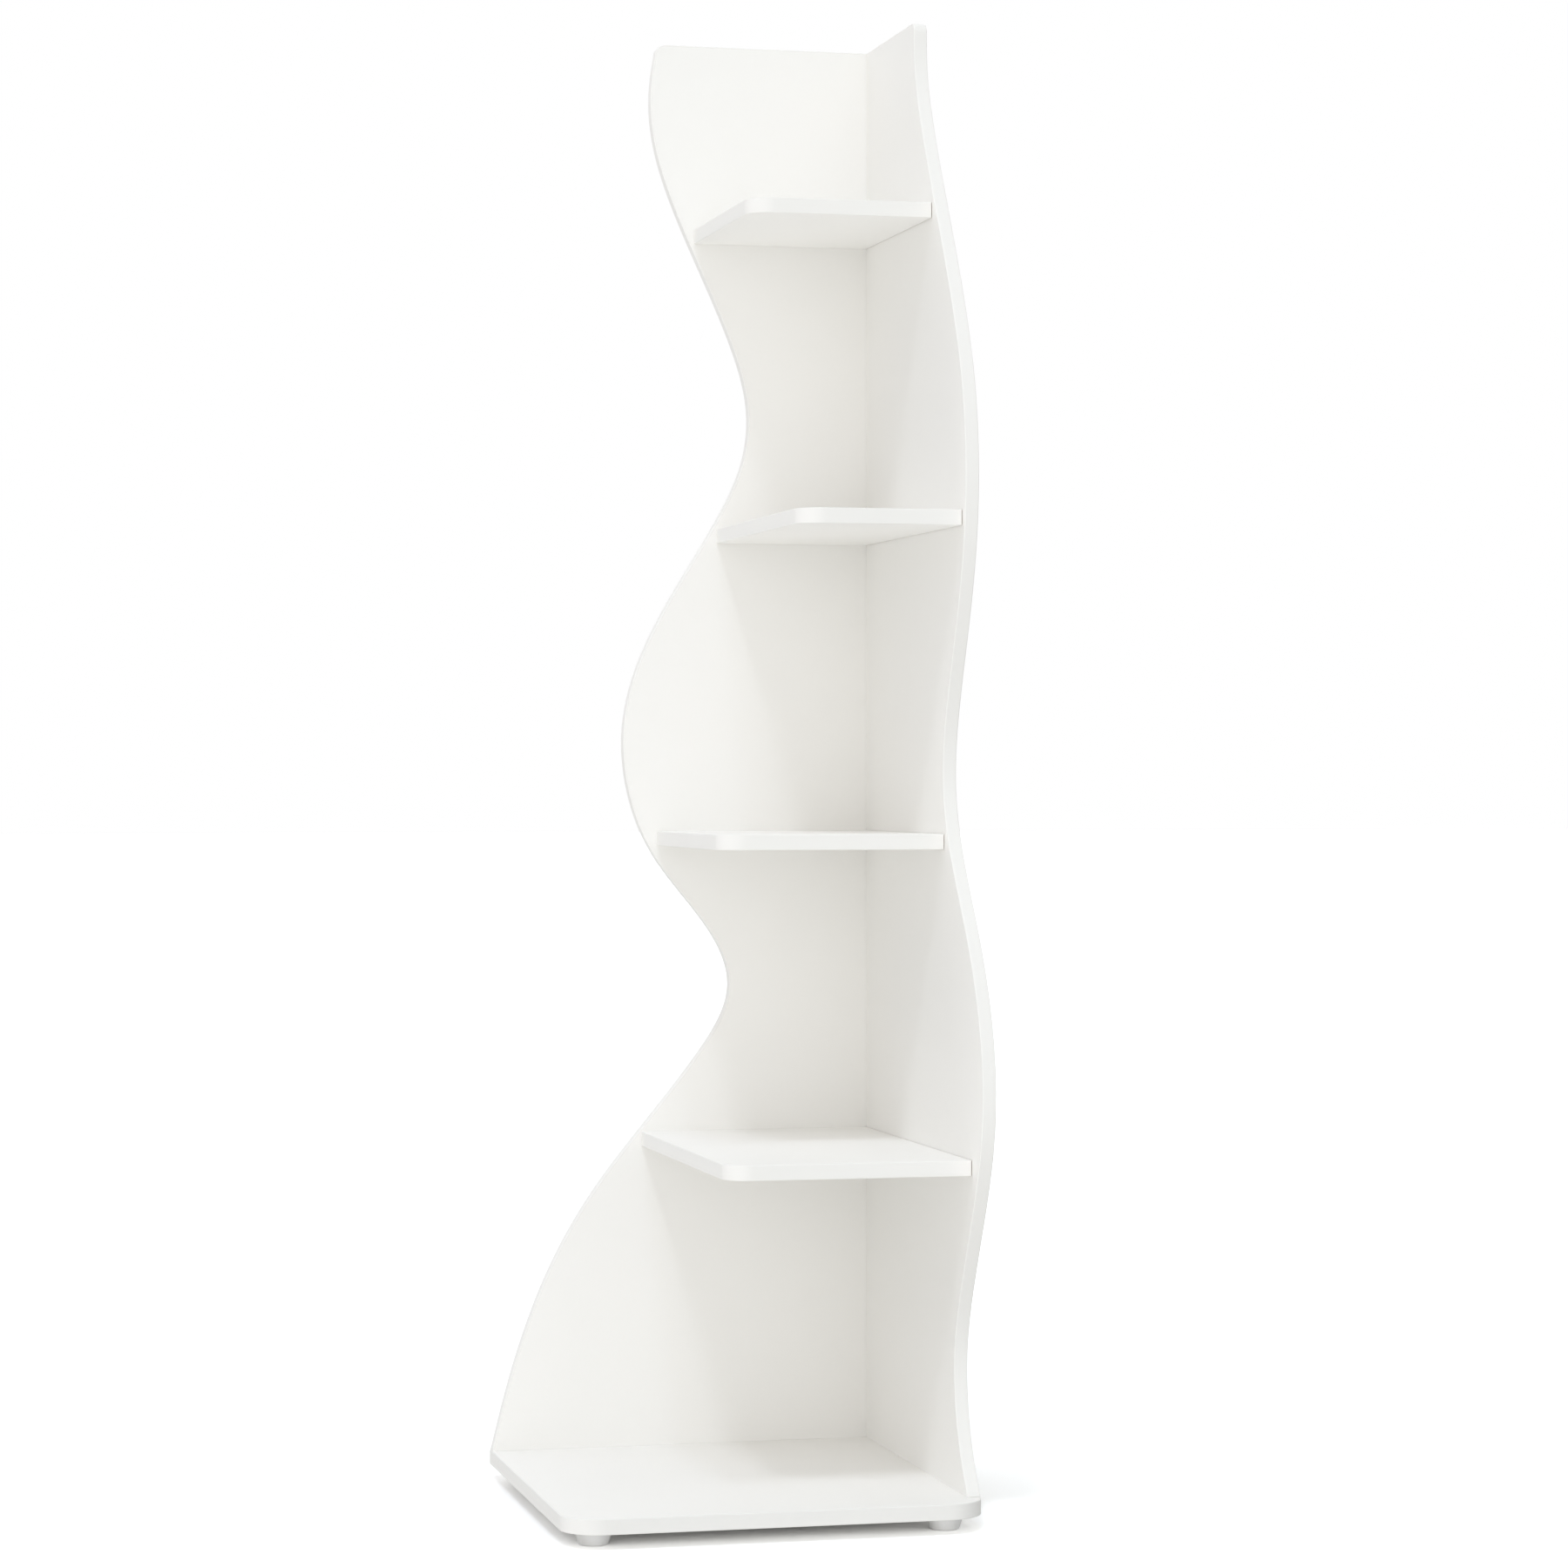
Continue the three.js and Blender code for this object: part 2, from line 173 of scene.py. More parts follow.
def head_of(name, direction):
    """Centre of a screw's head face, from its box."""
    lo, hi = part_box(name)
    centre = (lo + hi) / 2
    for axis in range(3):
        if direction[axis] > 0.5:
            centre[axis] = lo[axis]
        elif direction[axis] < -0.5:
            centre[axis] = hi[axis]
    return in_mm(centre)


# --------------------------------------------------------------------------
# Shader helpers
# --------------------------------------------------------------------------
class NodeTree:
    """The emptied node tree of a material or world, with short calls to fill it."""

    def __init__(self, owner):
        owner.use_nodes = True
        self.tree = owner.node_tree
        self.tree.nodes.clear()

    def feed(self, made, values):
        """Links or sets inputs by number or name; _ in a name stands for a space."""
        for key, value in values.items():
            socket = made.inputs[key.replace("_", " ") if isinstance(key, str) else key]
            if isinstance(value, bpy.types.NodeSocket):
                self.tree.links.new(value, socket)
            else:
                socket.default_value = value

    def add(self, kind, *values, operation=None, **named):
        made = self.tree.nodes.new(kind)
        if operation:
            made.operation = operation
        self.feed(made, {**dict(enumerate(values)), **named})
        return made

    def math(self, operation, a, b):
        return self.add("ShaderNodeMath", a, b, operation=operation).outputs[0]

    def vector(self, operation, *values, **named):
        return self.add("ShaderNodeVectorMath", *values, operation=operation, **named)

    def remap(self, value, to=(0.0, 1.0), span=(0.3, 0.7)):
        """Maps span onto to, clamped. The default span is a noise's usual spread."""
        return self.add("ShaderNodeMapRange", Value=value, From_Min=span[0], From_Max=span[1],
                        To_Min=to[0], To_Max=to[1]).outputs[0]

    def mix(self, factor, a, b):
        """Mixes two colours, each a tuple or an output."""
        made = self.tree.nodes.new("ShaderNodeMix")
        made.data_type = "RGBA"
        a, b = ((*colour, 1.0) if isinstance(colour, tuple) else colour for colour in (a, b))
        self.feed(made, {0: factor, 6: a, 7: b})
        return made.outputs[2]


class Finish(NodeTree):
    """A material with one surface shader, textured in object coordinates."""

    def __init__(self, name, shader="ShaderNodeBsdfPrincipled"):
        self.material = bpy.data.materials.new(name)
        super().__init__(self.material)
        self.surface = self.add(shader)
        self.add("ShaderNodeOutputMaterial", self.surface.outputs[0])
        self.coords = self.add("ShaderNodeTexCoord").outputs["Object"]
        self.normal = None

    def set(self, **inputs):
        self.feed(self.surface, inputs)

    def noise(self, scale, detail=3.0, rough=0.5, distort=0.0):
        return self.add("ShaderNodeTexNoise", Vector=self.coords, Scale=scale, Detail=detail,
                        Roughness=rough, Distortion=distort).outputs[0]

    def bump(self, height, strength, distance):
        """Stacks a bump on those before it; distance is in metres."""
        made = self.add("ShaderNodeBump", Height=height, Strength=strength, Distance=distance)
        if self.normal:
            self.feed(made, {"Normal": self.normal})
        self.normal = made.outputs[0]
        self.set(Normal=self.normal)


def shade(colour, by):
    return tuple(channel * by for channel in colour)


# --------------------------------------------------------------------------
# Materials
# --------------------------------------------------------------------------
WHITE = (0.917, 0.907, 0.879)
FOOT_GREY = (0.74, 0.735, 0.725)


def laminate_face():
    m = Finish("melamine_face")
    cloud = m.noise(scale=3.2, detail=4, rough=0.55)
    grain = m.noise(scale=420, detail=3, rough=0.6)
    pearl = m.noise(scale=1500, detail=2)
    smudge = m.noise(scale=14, detail=5, rough=0.62, distort=0.6)
    colour = m.mix(m.remap(cloud), shade(WHITE, by=0.992), shade(WHITE, by=1.004))
    colour = m.mix(m.remap(grain, to=(0.0, 0.5), span=(0.35, 0.7)), colour,
                   shade(WHITE, by=0.985))
    roughness = m.math("ADD", m.remap(smudge, to=(0.40, 0.52)),
                       m.remap(grain, to=(-0.03, 0.03)))
    m.set(Base_Color=colour, Roughness=roughness, Specular_IOR_Level=0.45)
    m.bump(m.noise(scale=26, detail=2), strength=0.06, distance=0.0003)
    m.bump(grain, strength=0.08, distance=0.00006)
    m.bump(pearl, strength=0.08, distance=0.00003)
    return m.material


def laminate_band():
    m = Finish("edge_band")
    cloud = m.noise(scale=9, detail=4, rough=0.55)
    grain = m.noise(scale=700, detail=3, rough=0.6)
    wear = m.noise(scale=60, detail=6, rough=0.7, distort=0.8)
    colour = m.mix(m.remap(cloud), shade(WHITE, by=0.969), shade(WHITE, by=0.986))
    colour = m.mix(m.remap(wear, to=(0.0, 0.55), span=(0.62, 0.80)), colour,
                   shade(WHITE, by=0.93))
    # painted shade: the band low down, on the base board's edge just above the floor, is
    # darkened in patches that follow the wear noise, standing in for the dimmer light there
    height = m.add("ShaderNodeSeparateXYZ", m.coords).outputs["Z"]
    low = m.math("MULTIPLY", m.remap(height, to=(1.0, 0.0), span=(0.034, 0.042)),
                 m.remap(wear, to=(0.55, 0.85)))
    # painted shade near the floor mixed into the band colour
    colour = m.mix(low, colour, shade(WHITE, by=0.915))
    roughness = m.math("ADD", m.remap(cloud, to=(0.46, 0.56)),
                       m.remap(wear, to=(0.0, 0.16), span=(0.55, 0.8)))
    m.set(Base_Color=colour, Roughness=roughness, Specular_IOR_Level=0.28)
    m.bump(m.noise(scale=45, detail=2), strength=0.12, distance=0.0003)
    m.bump(grain, strength=0.12, distance=0.00005)
    return m.material


def glue_line():
    m = Finish("glue_line")
    mottle = m.noise(scale=260, detail=4, rough=0.6)
    colour = m.mix(m.remap(mottle, span=(0.35, 0.7)), (0.70, 0.69, 0.655), (0.82, 0.81, 0.78))
    m.set(Base_Color=colour, Roughness=m.remap(mottle, to=(0.55, 0.75)))
    m.bump(mottle, strength=0.2, distance=0.0001)
    return m.material


def chipboard():
    """The core, seen inside the screw holes and on the hidden edges."""
    m = Finish("chipboard")
    chips = m.add("ShaderNodeTexVoronoi", Vector=m.coords, Scale=620.0)
    dust = m.noise(scale=900, detail=5, rough=0.7)
    colour = m.mix(chips.outputs["Color"], (0.36, 0.23, 0.12), (0.62, 0.46, 0.28))
    colour = m.mix(m.remap(dust, to=(0.0, 0.6), span=(0.35, 0.7)), colour, (0.70, 0.55, 0.36))
    m.set(Base_Color=colour, Roughness=0.85)
    m.bump(chips.outputs["Distance"], strength=0.5, distance=0.0004)
    m.bump(dust, strength=0.4, distance=0.0002)
    return m.material


def foot_plastic():
    m = Finish("foot_plastic")
    cloud = m.noise(scale=40, detail=4, rough=0.6)
    stipple = m.noise(scale=2600, detail=2)
    scuff = m.noise(scale=170, detail=6, rough=0.72, distort=1.2)
    colour = m.mix(m.remap(cloud), shade(FOOT_GREY, by=0.96), shade(FOOT_GREY, by=1.03))
    colour = m.mix(m.remap(scuff, to=(0.0, 0.5), span=(0.62, 0.8)), colour,
                   shade(FOOT_GREY, by=0.80))
    m.set(Base_Color=colour, Roughness=m.remap(scuff, to=(0.42, 0.62), span=(0.3, 0.8)))
    m.bump(cloud, strength=0.15, distance=0.0002)
    m.bump(stipple, strength=0.35, distance=0.00006)
    return m.material


def zinc_steel():
    m = Finish("zinc_steel")
    blotch = m.noise(scale=380, detail=5, rough=0.65, distort=0.8)
    fine = m.noise(scale=3200, detail=3, rough=0.6)
    colour = m.mix(m.remap(blotch), (0.50, 0.51, 0.52), (0.74, 0.74, 0.73))
    m.set(Base_Color=colour, Metallic=1.0, Roughness=m.remap(blotch, to=(0.26, 0.48)))
    m.bump(blotch, strength=0.12, distance=0.0001)
    m.bump(fine, strength=0.2, distance=0.00003)
    return m.material


BOARD_MATERIALS = [laminate_face(), laminate_band(), glue_line(), chipboard()]
ON_FACE, ON_BAND, ON_GLUE, ON_CORE = range(4)       # their slots on a board
FOOT_PLASTIC = foot_plastic()
ZINC_STEEL = zinc_steel()


# --------------------------------------------------------------------------
# Mesh helpers
# --------------------------------------------------------------------------
def skin(bm, rows, material=0, closed=False, flip=False):
    """Joins each row of vertices to the next and returns the faces of each band. A row
    of one vertex is a point. closed joins last to first; flip winds the other way."""
    bands = []
    for a, b in zip(rows, rows[1:] + (rows[:1] if closed else [])):
        band = []
        count = max(len(a), len(b))
        for i in range(count):
            j = (i + 1) % count
            if flip:
                i, j = j, i
            if len(a) == 1:
                face = bm.faces.new((a[0], b[j], b[i]))
            elif len(b) == 1:
                face = bm.faces.new((a[i], a[j], b[0]))
            else:
                face = bm.faces.new((a[i], a[j], b[j], b[i]))
            face.material_index = material
            band.append(face)
        bands.append(band)
    return bands


def cap(bm, rows):
    """Closes the first and last rows with a face each."""
    bm.faces.new(rows[0][::-1])
    bm.faces.new(rows[-1])


def turned(bm, profile, segments, place, **how):
    """Turns a profile of (radius, height) about the local axis. A radius is a number
    or a function of the angle; how goes to skin()."""
    rows = []
    for radius, height in profile:
        if radius == 0:
            rows.append([bm.verts.new(place(0, 0, height))])
            continue
        row = []
        for i in range(segments):
            angle = 2 * math.pi * i / segments
            reach = radius(angle) if callable(radius) else radius
            row.append(bm.verts.new(place(reach * math.cos(angle), reach * math.sin(angle),
                                          height)))
        rows.append(row)
    skin(bm, rows, **how)


def mesh_from(bm, name, materials, recalculate=True):
    if recalculate:
        bmesh.ops.recalc_face_normals(bm, faces=bm.faces)
    mesh = bpy.data.meshes.new(name)
    bm.to_mesh(mesh)
    bm.free()
    for material in materials:
        mesh.materials.append(material)
    return mesh


def link(name, data):
    obj = bpy.data.objects.new(name, data)
    bpy.context.scene.collection.objects.link(obj)
    return obj


def cut_out(obj, cutter_bm, use_self=False):
    """Cuts a shape out of an object and keeps the result as its mesh."""
    cutter = link("cutter", mesh_from(cutter_bm, "cutter", obj.data.materials))
    cut = obj.modifiers.new("cut", "BOOLEAN")
    cut.operation = "DIFFERENCE"
    cut.solver = "EXACT"
    cut.material_mode = "INDEX"
    cut.use_self = use_self
    cut.object = cutter
    depsgraph = bpy.context.evaluated_depsgraph_get()
    result = bpy.data.meshes.new_from_object(obj.evaluated_get(depsgraph), depsgraph=depsgraph)
    obj.modifiers.clear()
    obj.data = result
    bpy.data.objects.remove(cutter)


def complete(obj, piece, sharp_degrees=40.0):
    """Smooths an object and hands it over in place of a CAD piece."""
    mesh = obj.data
    mesh.polygons.foreach_set("use_smooth", [True] * len(mesh.polygons))
    mesh.set_sharp_from_angle(angle=math.radians(sharp_degrees))
    weighted = obj.modifiers.new("weighted", "WEIGHTED_NORMAL")
    weighted.keep_sharp = True
    weighted.weight = 100
    weighted.mode = "FACE_AREA_WITH_ANGLE"
    mesh.update()
    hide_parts(piece)
    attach(obj, "root")


# --------------------------------------------------------------------------
# Holes in the boards
# --------------------------------------------------------------------------
FRONT, LEFT, UP = (0, -1, 0), (-1, 0, 0), (0, 0, 1)
FEET = ("front_left", "front_right", "rear_left", "rear_right")
SHELVES = range(1, 5)


def list_screws():
    """(piece, way the tip points, board passed through, board bitten into)"""
    screws = [(f"corner_screw_{i}", FRONT, "back_panel", "side_panel") for i in range(1, 6)]
    for tag in ("left", "middle", "right"):
        screws.append((f"base_screw_back_{tag}", UP, "base_board", "back_panel"))
    for tag in ("rear", "middle", "front"):
        screws.append((f"base_screw_side_{tag}", UP, "base_board", "side_panel"))
    for k in SHELVES:
        for tag in ("left", "right"):
            screws.append((f"shelf_{k}_back_screw_{tag}", FRONT, "back_panel", f"shelf_{k}"))
        for tag in ("rear", "front"):
            screws.append((f"shelf_{k}_side_screw_{tag}", LEFT, "side_panel", f"shelf_{k}"))
    return screws


def foot_placer(tag):
    lo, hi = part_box(f"foot_{tag}")
    centre = (lo + hi) / 2
    centre.z = lo.z
    return placer(in_mm(centre), UP)


SCREWS = list_screws()
FOOT_PLACES = {tag: foot_placer(tag) for tag in FEET}
cutters = defaultdict(bmesh.new)        # by board


def add_hole(board, profile, place):
    turned(cutters[board], profile, HOLE_SEGMENTS, place, material=ON_CORE)


def add_holes():
    head = HEAD_RADIUS + CLEARANCE
    bore = COLLAR_RADIUS + CLEARANCE
    countersunk = [(0, -CUT_PAST), (head, -CUT_PAST), (head, HEAD_RIM_DEPTH + CONE_CLEARANCE),
                   (bore, HEAD_DEPTH + CONE_CLEARANCE), (bore, THROUGH_DEPTH),
                   (0, THROUGH_DEPTH)]

    def straight(radius, start, end):
        return [(0, start), (radius, start), (radius, end), (0, end)]

    for name, direction, through, into in SCREWS:
        place = placer(head_of(name, direction), direction)
        add_hole(through, countersunk, place)
        add_hole(into, straight(bore, 2, SCREW_LENGTH + CUT_PAST), place)
    foot_hole = straight(FOOT_SCREW_RADIUS + CLEARANCE, FOOT_HEIGHT - CUT_PAST,
                         FOOT_SCREW_TIP + 1)
    for place in FOOT_PLACES.values():
        add_hole("base_board", foot_hole, place)


add_holes()


# --------------------------------------------------------------------------
# Boards. An outline is anticlockwise: (x, y, fillet radius, fillet steps, kind
# of the edge that starts here).
# --------------------------------------------------------------------------
def inset(outline, offsets):
    """The outline moved inward. offsets gives (distance, height) for each kind of
    edge. Each result is (x, y, height)."""
    moved = []
    for i, (x, y, fillet, steps, kind) in enumerate(outline):
        before_x, before_y = outline[i - 1][:2]
        after_x, after_y = outline[(i + 1) % len(outline)][:2]
        dist_a, height_a = offsets[outline[i - 1][4]]
        dist_b, height_b = offsets[kind]
        ax, ay = x - before_x, y - before_y
        bx, by = after_x - x, after_y - y
        length_a, length_b = math.hypot(ax, ay), math.hypot(bx, by)
        ax, ay, bx, by = ax / length_a, ay / length_a, bx / length_b, by / length_b
        cross = ax * by - ay * bx
        if abs(cross) > 0.2:
            corner_x = x + (dist_a * bx - dist_b * ax) / cross
            corner_y = y + (dist_a * by - dist_b * ay) / cross
        else:       # nearly straight on
            spread, dist = 1 + ax * bx + ay * by, (dist_a + dist_b) / 2
            corner_x = x + dist * (-ay - by) / spread
            corner_y = y + dist * (ax + bx) / spread
        if not steps:
            moved.append((corner_x, corner_y, (height_a + height_b) / 2))
            continue
        radius = max(fillet - max(dist_a, dist_b), 0.02)
        turn = math.acos(max(-1.0, min(1.0, ax * bx + ay * by)))
        tangent = radius * math.tan(turn / 2)
        centre_x = corner_x - ax * tangent - ay * radius
        centre_y = corner_y - ay * tangent + ax * radius
        start = math.atan2(-ax, ay)
        for s in range(steps + 1):
            angle = start + turn * s / steps
            moved.append((centre_x + radius * math.cos(angle),
                          centre_y + radius * math.sin(angle),
                          height_a + (height_b - height_a) * s / steps))
    return moved


def board_mesh(name, outline, thickness, place):
    """A board with eased edges. Free edges carry an edge band with a glue line round
    each face; edges against another board are nearly square and show the core.
    place(a, b, c) gives the frame point, c running 0..thickness."""
    levels = [[(BAND + GLUE, 0.0)] * 3, [(BAND, 0.0)] * 3]
    for k in range(ROUNDING_STEPS + 1):
        t = math.pi / 2 * k / ROUNDING_STEPS
        levels.append([(gap + ease * (1 - math.sin(t)), ease * (1 - math.cos(t)))
                       for gap, ease in zip(EDGE_GAP, EDGE_ROUNDING)])
    kinds = []            # kind of the edge after each generated point
    for i, (_, _, _, steps, kind) in enumerate(outline):
        kinds += [min(kind, outline[i - 1][4])] * steps + [kind]

    bm = bmesh.new()
    rings = [[bm.verts.new(place(a, b, h)) for a, b, h in inset(outline, level)]
             for level in levels]
    rings += [[bm.verts.new(place(a, b, thickness - h)) for a, b, h in inset(outline, level)]
              for level in levels[::-1]]
    bands = skin(bm, rings)
    last = len(bands) - 1
    for k, band in enumerate(bands):
        on_free = ON_GLUE if k in (0, last) else ON_BAND
        on_hidden = ON_CORE if k == last // 2 else ON_FACE
        for face, kind in zip(band, kinds):
            face.material_index = on_free if kind == FREE else on_hidden
    cap(bm, rings)
    return mesh_from(bm, name, BOARD_MATERIALS)


def build_board(piece, outline, thickness, place):
    name = piece + "_board"
    obj = link(name, board_mesh(name, outline, thickness, place))
    cut_out(obj, cutters[piece])
    obj.data.name = name
    complete(obj, piece, sharp_degrees=35.0)


def natural_cubic(points):
    """A natural cubic spline through (z, value) points, as a function of z."""
    heights, values = zip(*points)
    last = len(points) - 1
    span = [heights[i + 1] - heights[i] for i in range(last)]
    slope = [(values[i + 1] - values[i]) / span[i] for i in range(last)]
    bend, upper, right = ([0.0] * (last + 1) for _ in range(3))
    for i in range(1, last):
        pivot = 2 * (span[i - 1] + span[i]) - span[i - 1] * upper[i - 1]
        upper[i] = span[i] / pivot
        right[i] = (6 * (slope[i] - slope[i - 1]) - span[i - 1] * right[i - 1]) / pivot
    for i in range(last - 1, 0, -1):
        bend[i] = right[i] - upper[i] * bend[i + 1]

    def value_at(z):
        i = 0
        while i < last - 1 and z > heights[i + 1]:
            i += 1
        d = z - heights[i]
        tilt = slope[i] - span[i] * (2 * bend[i] + bend[i + 1]) / 6
        cubic = (bend[i + 1] - bend[i]) / (6 * span[i])
        return values[i] + tilt * d + bend[i] / 2 * d * d + cubic * d ** 3

    return value_at


def panel_outline(wave, reach, inner, inner_kind):
    """In (a, z): a is the distance from the corner line, negative towards the wavy
    edge; inner is the straight edge."""
    curve = natural_cubic(wave)

    def edge_at(z):
        return min(curve(z), reach)

    radius = PANEL_TOP_RADIUS
    top = PANEL_HEIGHT - radius
    edge = edge_at(top)
    points = [(inner, PANEL_HEIGHT, *SMALL_CORNER, FREE)]
    for k in range(TOP_CORNER_STEPS + 1):
        angle = math.pi / 2 + math.pi / 2 * k / TOP_CORNER_STEPS
        points.append((-(edge - radius) + radius * math.cos(angle),
                       top + radius * math.sin(angle), 0, 0, FREE))
    for k in range(WAVE_STEPS - 1, 0, -1):
        z = top * k / WAVE_STEPS
        points.append((-edge_at(z), z, 0, 0, FREE))
    points.append((-edge_at(0), 0.0, *SMALL_CORNER, TIGHT))
    points.append((inner, 0.0, *SMALL_CORNER, inner_kind))
    return points


def front_corner(x, y, radius, steps, start):
    """Points round a front corner, from the angle start; (x, y) is the arc's centre."""
    angles = [start + math.pi / 2 * k / steps for k in range(steps + 1)]
    return [(x + radius * math.cos(angle), y + radius * math.sin(angle), 0, 0, FREE)
            for angle in angles]


def build_flat_board(piece, radius, steps, is_shelf):
    """A level board. Its front left corner is rounded, and on the base board the front
    right one too; a shelf's right end meets the side panel."""
    lo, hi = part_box(piece)
    x0, y0, low = in_mm(lo)
    x1, y1, _ = in_mm(hi)
    outline = [(x1, y1, *SMALL_CORNER, TIGHT if is_shelf else FREE),
               (x0, y1, *SMALL_CORNER, FREE)]
    outline += front_corner(x0 + radius, y0 + radius, radius, steps, math.pi)
    if is_shelf:
        outline.append((x1, y0, *SNUG_CORNER, SNUG))
    else:
        outline += front_corner(x1 - radius, y0 + radius, radius, steps, 1.5 * math.pi)
    build_board(piece, outline, (hi.z - lo.z) / MM, lambda a, b, c: at(a, b, low + c))


# the back panel's straight edge covers the side panel's rear edge
build_board("back_panel", panel_outline(BACK_WAVE, BACK_REACH, PANEL_THICKNESS, FREE),
            PANEL_THICKNESS, lambda a, b, c: at(a, c, b))
build_board("side_panel", panel_outline(SIDE_WAVE, SIDE_REACH, 0.0, TIGHT),
            PANEL_THICKNESS, lambda a, b, c: at(c, a, b))
build_flat_board("base_board", BASE_RADIUS, BASE_CORNER_STEPS, is_shelf=False)
for shelf in SHELVES:
    build_flat_board(f"shelf_{shelf}", SHELF_RADIUS, SHELF_CORNER_STEPS, is_shelf=True)


# --------------------------------------------------------------------------
# Threads
# --------------------------------------------------------------------------
def thread_depths(start, end, pitch, per_turn):
    count = int((end - start) / pitch * per_turn)
    return [start + (end - start) * k / count for k in range(count + 1)]


def thread_radius(depth, pitch, core, crest, half_width, steepness=1.0, fade=1.0, taper=1.0):
    """Radius by angle of a ridge wound round a core. half_width is a share of the
    pitch, steepness over 1 flattens the crest, fade scales the ridge and taper all."""
    def radius(angle):
        phase = (depth / pitch - angle / (2 * math.pi)) % 1.0
        ridge = max(0.0, 1.0 - abs(phase - 0.5) / half_width)
        return (core + (crest - core) * min(1.0, ridge * steepness) * fade) * taper
    return radius


# --------------------------------------------------------------------------
# Connecting screws: countersunk head with a hexagon socket, collar, thread
# --------------------------------------------------------------------------
def socket_radius(angle):
    side = math.radians(60)
    return (SOCKET_ACROSS / 2) / math.cos(((angle + side / 2) % side) - side / 2)


def connecting_screw_mesh():
    profile = [
        (0, SOCKET_DEPTH), (socket_radius, SOCKET_DEPTH), (socket_radius, 0.35),
        (2.62, 0.0), (3.6, 0.0), (4.5, 0.0), (4.71, 0.09),
        (HEAD_RADIUS, 0.3), (HEAD_RADIUS, HEAD_RIM_DEPTH), (4.72, 0.9),
        (COLLAR_RADIUS, HEAD_DEPTH), (COLLAR_RADIUS, 12.6), (3.3, 13.0),
    ]
    start, end, pitch = 13.6, 48.2, 3.0
    taper_start = 44.0
    for depth in thread_depths(start, end, pitch, per_turn=7):
        fade = max(0.0, min(1.0, (depth - start) / 2.0, (end - depth) / 4.0))
        taper = 1.0 - 0.55 * max(0.0, (depth - taper_start) / (end - taper_start)) ** 1.5
        profile.append((thread_radius(depth, pitch, core=2.45, crest=3.45, half_width=0.24,
                                      steepness=1.25, fade=fade, taper=taper), depth))
    profile += [(0.75, 49.3), (0, SCREW_LENGTH)]
    bm = bmesh.new()
    turned(bm, profile, SCREW_SEGMENTS, lambda u, v, w: (u * MM, v * MM, w * MM), flip=True)
    return mesh_from(bm, "connecting_screw", [ZINC_STEEL])


def build_connecting_screws():
    shared = connecting_screw_mesh()
    for k, (name, direction, _, _) in enumerate(SCREWS):
        across, upward, along = axes_for(direction)
        turn = SCREW_TURN * k
        u = across * math.cos(turn) + upward * math.sin(turn)
        v = along.cross(u)
        obj = link(name + "_steel", shared.copy())
        obj.data.transform(Matrix.Translation(at(*head_of(name, direction)))
                           @ Matrix((u, v, along)).transposed().to_4x4())
        complete(obj, name)


build_connecting_screws()


# --------------------------------------------------------------------------
# Feet and their screws
# --------------------------------------------------------------------------
def arc(x, y, radius, start, end, steps):
    """Profile points round (x, y), angles in degrees."""
    angles = [math.radians(start + (end - start) * k / steps) for k in range(steps + 1)]
    return [(x + radius * math.cos(angle), y + radius * math.sin(angle)) for angle in angles]


def build_foot(tag):
    """A cone, wider at the top, with a bore that widens below the screw's head."""
    profile = [
        (FOOT_BORE, FOOT_SEAT), (FOOT_RECESS - 0.4, FOOT_SEAT),
        (FOOT_RECESS, FOOT_SEAT - 0.4), (FOOT_RECESS, 0.5),
        *arc(FOOT_RECESS + 0.5, 0.5, 0.5, start=180, end=270, steps=4),
        *arc(FOOT_BOTTOM_RADIUS - 1.2, 1.2, 1.2, start=270, end=342, steps=7),
        (FOOT_TOP_RADIUS - 0.33, FOOT_HEIGHT - 0.95),
        *arc(FOOT_TOP_RADIUS - 0.5, FOOT_HEIGHT - 0.5, 0.5, start=-16, end=90, steps=5),
        (FOOT_BORE + 0.5, FOOT_HEIGHT), (FOOT_BORE, FOOT_HEIGHT - 0.5),
    ]
    bm = bmesh.new()
    turned(bm, profile, FOOT_SEGMENTS, FOOT_PLACES[tag], closed=True)
    name = f"foot_{tag}_cone"
    complete(link(name, mesh_from(bm, name, [FOOT_PLASTIC])), f"foot_{tag}")


def cross_recess(place):
    """Two crossed blades that narrow into the head."""
    stations = (        # half width, half length, height
        (0.42, 2.1, FOOT_HEAD_LOW - 0.6),
        (0.40, 1.9, FOOT_HEAD_LOW + 0.5),
        (0.22, 0.7, FOOT_HEAD_LOW + 1.9),
    )
    bm = bmesh.new()
    for turn in (0.4, 0.4 + math.pi / 2):
        u, v = math.cos(turn), math.sin(turn)
        rows = []
        for width, length, height in stations:
            corners = ((-length, -width), (length, -width), (length, width), (-length, width))
            rows.append([bm.verts.new(place(a * u - b * v, a * v + b * u, height))
                         for a, b in corners])
        skin(bm, rows)
        cap(bm, rows)
    return bm


